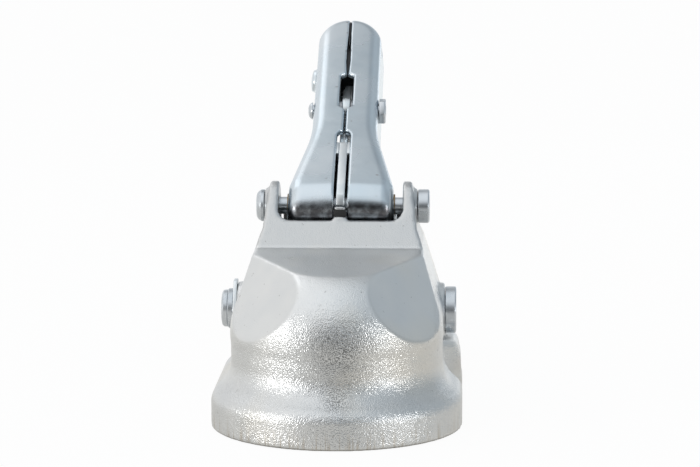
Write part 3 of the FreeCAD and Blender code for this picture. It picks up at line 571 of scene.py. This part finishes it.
lower = (43, 22.5)
lower_pin = turned_piece("lower_pin", [
    (-47.75, 0), (-47.75, 5.6), (-47.4, 6), (42.35, 6), (42.35, 9.1), (42.6, 9.45),
    (46.2, 9.5), (46.65, 9.2), (46.85, 8.6), (46.85, 0),
], lower)
dress(lower_pin, "jaw", "jaw_pin", pin_zinc)
lower_cap = turned_piece("lower_cap", [
    (-48.75, 0), (-48.75, 5.9), (-48.5, 6.9), (-47.8, 7.5), (-46.4, 7.6), (-46.15, 7.3),
    (-46.15, 6.05), (-47.75, 6.05), (-47.75, 0),
], lower)
dress(lower_cap, "jaw", "jaw_pin_cap", pin_zinc)
lower_washer = turned_piece("lower_washer", [
    (-43.95, 6.05), (-43.95, 7.8), (-44.2, 8.15), (-45.8, 8.15), (-46.15, 7.8), (-46.15, 6.05),
    (-43.95, 6.05),
], lower)
dress(lower_washer, "jaw", "jaw_pin_washer", pin_zinc)

rivet_place = on_handle(60, 4)
grip_rivet = turned_piece("grip_rivet", [
    (-16.1, 0), (-16.05, 1.4), (-15.7, 2.5), (-15.0, 3.3), (-14.3, 3.6), (-14.2, 3.5), (-14.2, 2.5),
    (16.5, 2.5), (16.75, 2.2), (16.75, 0),
], rivet_place)
nut_sides = 6
nut_corner = 5.5
nut_turn = math.radians(-8)
nut_turns = [nut_turn + i * math.tau / nut_sides for i in range(nut_sides)]
bm = bmesh.new()
bm.from_mesh(grip_rivet.data)
rows = []
for x, r in ((13.9, 0.99), (16.1, 1.0), (16.6, 0.93)):
    rows.append([bm.verts.new((x * MM,
                               rivet_place[0] * MM - nut_corner * r * MM * math.cos(turn),
                               rivet_place[1] * MM + nut_corner * r * MM * math.sin(turn)))
                 for turn in nut_turns])
nut = []
for low_row, high_row in zip(rows, rows[1:]):
    for i in range(nut_sides):
        nut.append(bm.faces.new((low_row[i], low_row[i - 1], high_row[i - 1], high_row[i])))
nut.append(bm.faces.new(rows[0]))
nut.append(bm.faces.new(rows[-1][::-1]))
nut_edges = list({edge for face in nut for edge in face.edges})
bmesh.ops.bevel(bm, geom=nut_edges, offset=0.25 * MM, segments=2, profile=0.5,
                affect="EDGES", material=-1)
bmesh.ops.recalc_face_normals(bm, faces=bm.faces)
bm.to_mesh(grip_rivet.data)
bm.free()
grip_rivet.data.shade_smooth()
grip_rivet.data.set_sharp_from_angle(angle=math.radians(28))
dress(grip_rivet, "handle", "trigger_rivet", pin_zinc)
end_rivet = turned_piece("end_rivet", [
    (-13.75, 0), (-13.75, 1.7), (-13.6, 2.0), (13.6, 2.0), (13.75, 1.7), (13.75, 0),
], on_handle(105, 3))
dress(end_rivet, "handle", "tail_rivet", pin_zinc)

# Latch, trigger, clip and wear plate: stamped from plate and zinc plated,
# with a slightly rolled edge on the punch side.
stamped_zinc, skin, at = metal("stamped_zinc", (0.80, 0.83, 0.85), 0.34)
cloud = noise(stamped_zinc, at, 160, 3.0, 0.6)
scuffs = noise(stamped_zinc, at, 8, 3.0, 0.6, (90, 30, 30))
join(stamped_zinc, ramp(stamped_zinc, cloud, [(0.3, (0.72, 0.77, 0.80)), (0.7, (0.86, 0.88, 0.89))]),
     skin.inputs["Base Color"])
join(stamped_zinc, ramp(stamped_zinc, scuffs, [(0.3, 0.28), (0.7, 0.42)]), skin.inputs["Roughness"])
bump(stamped_zinc, skin, [(cloud, 0.2, 0.3 * MM)])


def edged_copy(node, name, width):
    """The node's shape with its sharp edges broken by a narrow round."""
    obj = loose_copy(node, name)
    bm = bmesh.new()
    bm.from_mesh(obj.data)
    bmesh.ops.dissolve_limit(bm, angle_limit=math.radians(0.5), verts=bm.verts, edges=bm.edges)
    bm.to_mesh(obj.data)
    bm.free()
    edge = obj.modifiers.new("edge", "BEVEL")
    edge.width = width
    edge.segments = 2
    edge.limit_method = "ANGLE"
    edge.angle_limit = math.radians(35)
    edge.harden_normals = False
    apply_modifiers(obj)
    obj.data.shade_smooth()
    obj.data.set_sharp_from_angle(angle=math.radians(40))
    return obj


for node, body, slot, width in (
    ("latch_bolt", "latch", "latch_zinc", 0.35 * MM),
    ("bolt_clip", "latch", "latch_zinc", 0.15 * MM),
    ("trigger", "finger_lever", "latch_zinc", 0.35 * MM),
    ("wear_indicator", "jaw", "pin_zinc", 0.25 * MM),
):
    dress(edged_copy(node, node + "_plate", width), body, node, stamped_zinc)

# Ball jaw: a rough iron casting with machined seats, dark with grease.
jaw_iron, skin, at = metal("jaw_iron", (0.32, 0.32, 0.33), 0.45)
grain = noise(jaw_iron, at, 900, 3.0, 0.6)
cloud = noise(jaw_iron, at, 60, 3.0, 0.6)
join(jaw_iron, ramp(jaw_iron, cloud, [(0.3, (0.20, 0.20, 0.21)), (0.7, (0.42, 0.42, 0.43))]),
     skin.inputs["Base Color"])
join(jaw_iron, ramp(jaw_iron, cloud, [(0.3, 0.35), (0.7, 0.6)]), skin.inputs["Roughness"])
bump(jaw_iron, skin, [(grain, 0.5, 0.4 * MM)])
dress(edged_copy("ball_jaw", "jaw_casting", 0.5 * MM), "jaw", "ball_jaw", jaw_iron)

# Links: two plain steel straps, punched and oiled, between the handle and the jaw.
link_steel, skin, at = metal("link_steel", (0.45, 0.46, 0.48), 0.36)
rolled = noise(link_steel, at, 10, 3.0, 0.6, (40, 60, 8))
cloud = noise(link_steel, at, 120, 3.0, 0.6)
join(link_steel, ramp(link_steel, cloud, [(0.3, (0.34, 0.35, 0.37)), (0.7, (0.52, 0.53, 0.55))]),
     skin.inputs["Base Color"])
join(link_steel, ramp(link_steel, rolled, [(0.3, 0.28), (0.7, 0.45)]), skin.inputs["Roughness"])
bump(link_steel, skin, [(rolled, 0.15, 0.2 * MM)])
for side in ("left", "right"):
    node = "pull_link_" + side
    dress(edged_copy(node, "pull_strap_" + side, 0.3 * MM), "links", node, link_steel)

# Springs: round oiled wire, dark, with the faint lines of its drawing.
spring_wire, skin, at = metal("spring_wire", (0.22, 0.23, 0.25), 0.35)
film = noise(spring_wire, at, 300, 2.0, 0.5)
join(spring_wire, ramp(spring_wire, film, [(0.3, (0.15, 0.16, 0.17)), (0.7, (0.32, 0.33, 0.35))]),
     skin.inputs["Base Color"])
join(spring_wire, ramp(spring_wire, film, [(0.3, 0.28), (0.7, 0.42)]), skin.inputs["Roughness"])
bump(spring_wire, skin, [(film, 0.1, 0.1 * MM)])

# Bushes: sintered bronze in the two handle walls, brown and slightly porous.
bush_bronze, skin, at = metal("bush_bronze", (0.50, 0.34, 0.17), 0.4)
pores = noise(bush_bronze, at, 1800, 2.0, 0.6)
join(bush_bronze, ramp(bush_bronze, pores, [(0.3, (0.14, 0.10, 0.06)), (0.6, (0.32, 0.23, 0.13))]),
     skin.inputs["Base Color"])
bump(bush_bronze, skin, [(pores, 0.3, 0.1 * MM)])

for finish, names in (
    (spring_wire, ("jaw_spring", "latch_spring")),
    (bush_bronze, ("pivot_bush_left", "pivot_bush_right")),
    (link_steel, ("link_spacer_left", "link_spacer_right",
                  "trigger_spacer_left", "trigger_spacer_right")),
    (pin_zinc, ("crank_pin", "link_pin")),
):
    for name in names:
        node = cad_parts[name]
        if not node.material_slots:
            node.data.materials.append(finish)
        for place in node.material_slots:
            place.material = finish

# Latch guide, buffer, seam strip and rib, trigger cover and well shield: black plastic and rubber
# mouldings, all guessed.
# The guide holds the bolt. The buffer, a black rubber block under the ledge's lip, is painted shade for
# the shadowed recess there.
# The others close the seam, the slots and the window from inside, and their black is painted shade
# there.
black_plastic, skin, at = metal("black_plastic", (0.02, 0.021, 0.024), 0.42)
skin.inputs["Metallic"].default_value = 0.0
mould = noise(black_plastic, at, 1400, 2.0, 0.5)
black_tone = ramp(black_plastic, mould, [(0.3, (0.014, 0.015, 0.017)), (0.7, (0.028, 0.029, 0.032))])
join(black_plastic, black_tone, skin.inputs["Base Color"])
bump(black_plastic, skin, [(mould, 0.2, 0.1 * MM)])
# Painted shade: the buffer's near-black rubber stands in for the shadow under the ledge's lip.
black_rubber, skin, at = metal("black_rubber", (0.018, 0.018, 0.018), 0.6)
skin.inputs["Metallic"].default_value = 0.0
crumb = noise(black_rubber, at, 1900, 2.0, 0.6)
black_tone = ramp(black_rubber, crumb, [(0.3, (0.012, 0.012, 0.012)), (0.7, (0.026, 0.025, 0.024))])
join(black_rubber, black_tone, skin.inputs["Base Color"])
bump(black_rubber, skin, [(crumb, 0.3, 0.1 * MM)])
dress(edged_copy("latch_guide", "latch_guide_block", 0.3 * MM), "handle", "latch_guide",
      black_plastic)
dress(edged_copy("latch_buffer", "latch_buffer_shade_block", 0.2 * MM), "base", "latch_buffer",
      black_rubber)


def moulding(name, outline, half, edge):
    """Moulding from an outline of (y, z) in mm, as wide as twice half, with rounded edges."""
    bm = bmesh.new()
    rings = []
    for x in (-half, half):
        rings.append([bm.verts.new((x * MM, y * MM, z * MM)) for y, z in outline])
    bm.faces.new(rings[0])
    bm.faces.new(rings[1][::-1])
    for i in range(len(outline)):
        j = (i + 1) % len(outline)
        bm.faces.new((rings[0][j], rings[0][i], rings[1][i], rings[1][j]))
    bmesh.ops.bevel(bm, geom=bm.edges[:], offset=edge * MM, segments=2, profile=0.5,
                    affect="EDGES", material=-1)
    bmesh.ops.recalc_face_normals(bm, faces=bm.faces)
    mesh = bpy.data.meshes.new(name)
    bm.to_mesh(mesh)
    bm.free()
    mesh.materials.append(black_plastic)
    mesh.shade_smooth()
    mesh.set_sharp_from_angle(angle=math.radians(40))
    obj = bpy.data.objects.new(name, mesh)
    bpy.context.scene.collection.objects.link(obj)
    return obj


# Painted shade: these black mouldings stand in for the dark inside the seam, the slots and the window.
seam_strip = moulding("seam_strip", [on_handle(s, n) for s, n in (
    (79.5, 7.6), (116.0, 7.6), (116.0, -4.6), (117.2, -4.6), (117.2, 8.8), (79.5, 8.8))], 2.4, 0.15)
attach(seam_strip, "handle")
seam_rib = moulding("seam_rib", [on_handle(s, n) for s, n in (
    (99.0, 9.0), (99.0, 11.2), (115.0, 11.3), (116.7, 10.95), (118.1, 10.0), (119.0, 8.7), (119.3, 7.0),
    (119.3, -4.0), (117.6, -4.0), (117.6, 9.0))], 0.19, 0.05)
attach(seam_rib, "handle")
trigger_cover = moulding("trigger_cover", [on_handle(s, n) for s, n in (
    (84.0, -8.6), (84.6, -4.4), (90.0, -4.4), (97.6, -4.6), (98.3, -6.0), (98.0, -9.6),
    (93.0, -9.2))], 5.2, 0.35)
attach(trigger_cover, "finger_lever")
well_shield = moulding("well_shield", [(60.4, 50.7), (61.8, 50.7), (61.8, 63.6), (62.6, 65.0),
                                       (61.6, 65.4), (60.4, 64.0)], 24.7, 0.3)
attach(well_shield, "base")
